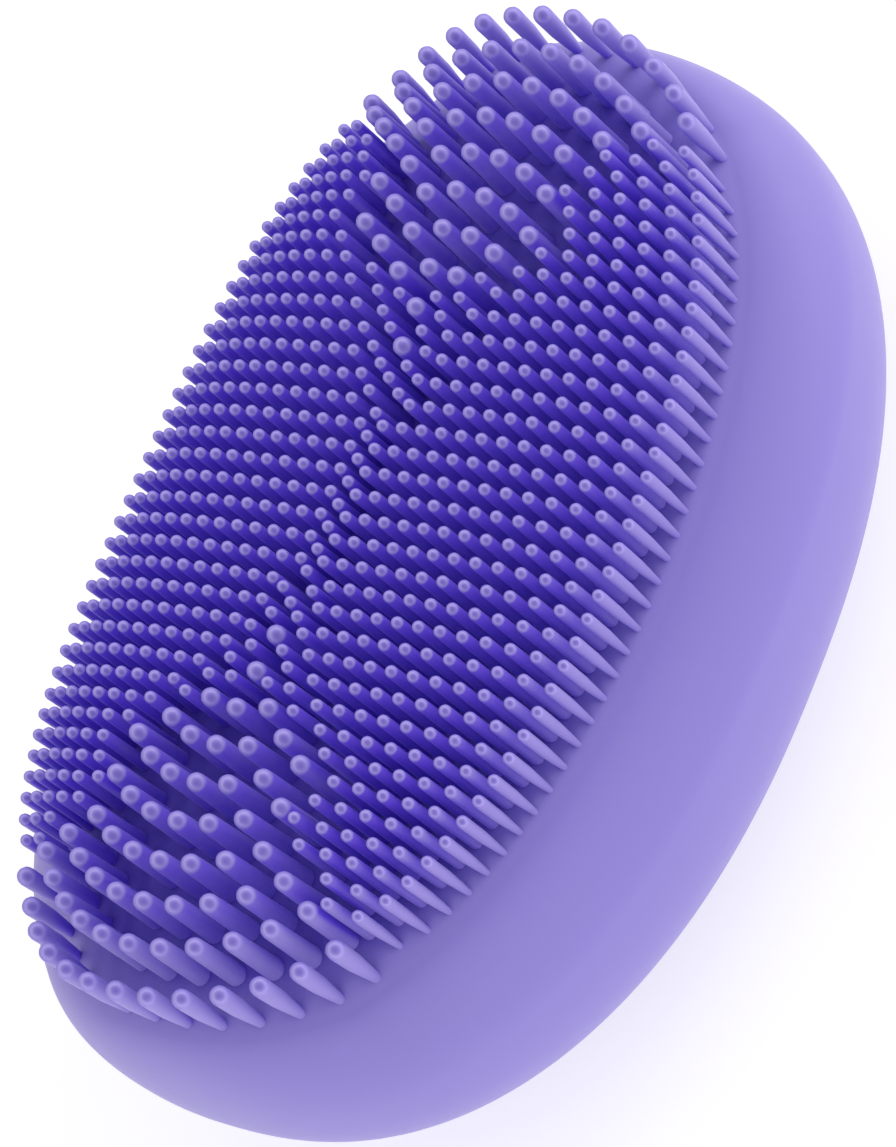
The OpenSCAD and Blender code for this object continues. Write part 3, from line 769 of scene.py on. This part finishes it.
def floor():
    """Large pale sheet under the brush, clear from below so that the back can be looked at."""
    half, drop = 1500, 0.05
    corners = [(-half, -half), (half, -half), (half, half), (-half, half)]
    piece = mesh_object("floor", [(x, y, -drop) for x, y in corners], [(0, 1, 2, 3)])
    f = Finish("pale_floor")
    f.surface(f.ramp(f.noise(8, 2), [(0.3, (0.5, 0.5, 0.505)), (0.7, (0.52, 0.52, 0.52))]), 0.8)
    f.put(f.shader, Emission_Color=(1, 1, 1, 1), Emission_Strength=0.62)
    under = f.add("ShaderNodeNewGeometry").outputs["Backfacing"]
    clear = f.add("ShaderNodeBsdfTransparent").outputs["BSDF"]
    sides = f.add("ShaderNodeMixShader", Fac=under)
    f.tree.links.new(f.shader.outputs["BSDF"], sides.inputs[1])
    f.tree.links.new(clear, sides.inputs[2])
    f.tree.links.new(sides.outputs["Shader"], f.tree.nodes["Material Output"].inputs["Surface"])
    f.material.cycles.emission_sampling = "NONE"
    piece.data.materials.append(f.material)


def soft_light(name, place_mm, target_mm, size_mm, watts):
    """Large square lamp aimed at the brush."""
    lamp_data = bpy.data.lights.new(name, "AREA")
    lamp_data.size = size_mm * MM
    lamp_data.energy = watts
    holder = bpy.data.objects.new(name, lamp_data)
    bpy.context.scene.collection.objects.link(holder)
    aim = Vector(target_mm) - Vector(place_mm)
    holder.location = Vector(place_mm) * MM
    holder.rotation_euler = aim.to_track_quat("-Z", "Y").to_euler()


def studio():
    """White surroundings and three large soft lamps."""
    world = bpy.data.worlds.new("studio")
    world.use_nodes = True
    background = world.node_tree.nodes["Background"]
    background.inputs["Color"].default_value = (1, 1, 1, 1)
    background.inputs["Strength"].default_value = 0.74
    bpy.context.scene.world = world
    centre = (0, 0, MID_Z)
    soft_light("key", (330, 380, 260), centre, 300, 0.15)
    soft_light("sheen", (120, 470, 240), centre, 300, 0.7)
    soft_light("fill", (400, -300, 260), centre, 400, 0.3)
    bpy.context.scene.view_settings.view_transform = "Standard"


def camera():
    """Camera above and to the right of the brush, rolled so that its length stands up the frame."""
    azimuth, elevation, roll = math.radians(67.89), math.radians(44.37), math.radians(-50.98)
    distance = 309.6
    back = Vector((math.sin(azimuth) * math.cos(elevation), -math.cos(azimuth) * math.cos(elevation),
                   math.sin(elevation)))
    level = Vector((math.cos(azimuth), math.sin(azimuth), 0))
    right = Matrix.Rotation(roll, 3, back) @ level
    lens = bpy.data.cameras.new("camera")
    lens.sensor_width = 36
    lens.lens = 135.47
    lens.shift_x, lens.shift_y = 0.0079, 0.0024
    holder = bpy.data.objects.new("camera", lens)
    bpy.context.scene.collection.objects.link(holder)
    turn = Matrix((right, back.cross(right), back)).transposed().to_4x4()
    holder.matrix_world = Matrix.Translation((Vector((0, 0, MID_Z)) + back * distance) * MM) @ turn
    bpy.context.scene.camera = holder


bristle_material = bristle_silicone()
sleeve_skin(skin_silicone())
thick = thick_points()
shift = np.array([0, PATTERN_Y])
bristles("thick_bristles", thick + shift, THICK_R, 20, bristle_material)
bristles("fine_bristles", fine_points(thick) + shift, FINE_R, 14, bristle_material)
cover_plate(moulded("cover_violet", rgb(142, 130, 205), 0.38))
button_cap(moulded("button_violet", rgb(170, 160, 224), 0.32, grain=1100))
dress_nodes(slot_materials())
floor()
studio()
camera()
